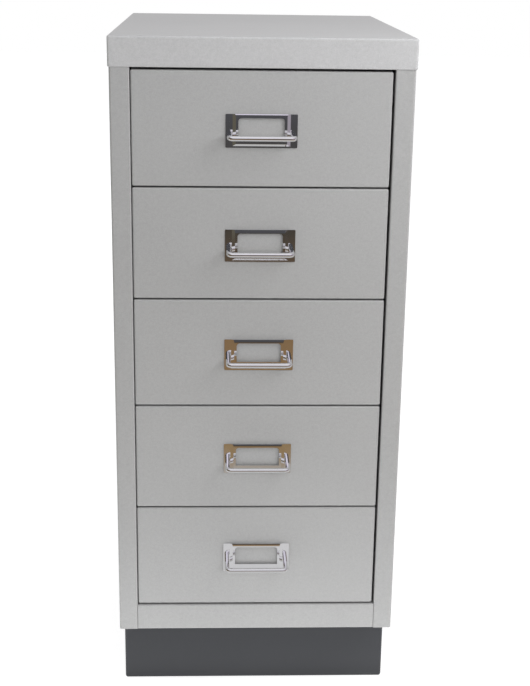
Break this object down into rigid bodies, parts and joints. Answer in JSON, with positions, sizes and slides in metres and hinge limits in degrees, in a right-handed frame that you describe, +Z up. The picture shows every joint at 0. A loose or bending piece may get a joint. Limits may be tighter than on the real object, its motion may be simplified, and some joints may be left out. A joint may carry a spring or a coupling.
{
  "type": "multi-drawer cabinet",
  "caption": "Narrow steel multi-drawer cabinet: equal sliding drawers with chrome card-holder pulls in a folded carcass with a proud cap, on a dark set-back plinth.",
  "frame": {"origin": "on the floor, at the middle of the whole width and of the whole depth with the pulls counted in", "axes": "+Z up, -Y out of the drawer fronts, +X to the right as one faces the drawers"},
  "size_m": [0.279, 0.402, 0.673],
  "materials": {
    "silver_paint": "silver-grey metallic paint, satin, with a fine speckle",
    "plinth_paint": "dark grey paint, satin",
    "chrome": "bright plated",
    "zinc_steel": "bright zinc, dull",
    "white_nylon": "natural nylon",
    "rubber": "matte black"
  },
  "bodies": {
    "cabinet": {"top_panel": "silver_paint", "rear_panel": "silver_paint", "base_panel": "silver_paint", "front_rail_top": "silver_paint", "front_rail_bottom": "silver_paint", "side_panel_left": "silver_paint", "side_panel_right": "silver_paint", "upright_front_left": "zinc_steel", "upright_front_right": "zinc_steel", "upright_rear_left": "zinc_steel", "upright_rear_right": "zinc_steel", "runner_left_1": "zinc_steel", "runner_right_1": "zinc_steel", "runner_left_2": "zinc_steel", "runner_right_2": "zinc_steel", "runner_left_3": "zinc_steel", "runner_right_3": "zinc_steel", "runner_left_4": "zinc_steel", "runner_right_4": "zinc_steel", "runner_left_5": "zinc_steel", "runner_right_5": "zinc_steel", "runner_front_glides": "white_nylon", "runner_rivets": "zinc_steel", "drawer_buffers": "rubber", "plinth_front": "plinth_paint", "plinth_right": "plinth_paint", "plinth_rear": "plinth_paint", "plinth_left": "plinth_paint", "plinth_bolts": "zinc_steel", "plinth_nuts": "zinc_steel"},
    "drawer_1": {"drawer_1_front": "silver_paint", "drawer_1_tray": "silver_paint", "drawer_1_rear_guides": "white_nylon", "drawer_1_handle_plate": "chrome", "drawer_1_pull": "chrome", "drawer_1_pull_nuts": "zinc_steel"},
    "drawer_2": {"drawer_2_front": "silver_paint", "drawer_2_tray": "silver_paint", "drawer_2_rear_guides": "white_nylon", "drawer_2_handle_plate": "chrome", "drawer_2_pull": "chrome", "drawer_2_pull_nuts": "zinc_steel"},
    "drawer_3": {"drawer_3_front": "silver_paint", "drawer_3_tray": "silver_paint", "drawer_3_rear_guides": "white_nylon", "drawer_3_handle_plate": "chrome", "drawer_3_pull": "chrome", "drawer_3_pull_nuts": "zinc_steel"},
    "drawer_4": {"drawer_4_front": "silver_paint", "drawer_4_tray": "silver_paint", "drawer_4_rear_guides": "white_nylon", "drawer_4_handle_plate": "chrome", "drawer_4_pull": "chrome", "drawer_4_pull_nuts": "zinc_steel"},
    "drawer_5": {"drawer_5_front": "silver_paint", "drawer_5_tray": "silver_paint", "drawer_5_rear_guides": "white_nylon", "drawer_5_handle_plate": "chrome", "drawer_5_pull": "chrome", "drawer_5_pull_nuts": "zinc_steel"}
  },
  "joints": [
    {"name": "drawer_1_slide", "type": "slide", "parent": "cabinet", "child": "drawer_1", "axis": [0, -1, 0], "range_m": [0, 0.284]},
    {"name": "drawer_2_slide", "type": "slide", "parent": "cabinet", "child": "drawer_2", "axis": [0, -1, 0], "range_m": [0, 0.284]},
    {"name": "drawer_3_slide", "type": "slide", "parent": "cabinet", "child": "drawer_3", "axis": [0, -1, 0], "range_m": [0, 0.284]},
    {"name": "drawer_4_slide", "type": "slide", "parent": "cabinet", "child": "drawer_4", "axis": [0, -1, 0], "range_m": [0, 0.284]},
    {"name": "drawer_5_slide", "type": "slide", "parent": "cabinet", "child": "drawer_5", "axis": [0, -1, 0], "range_m": [0, 0.284]}
  ]
}
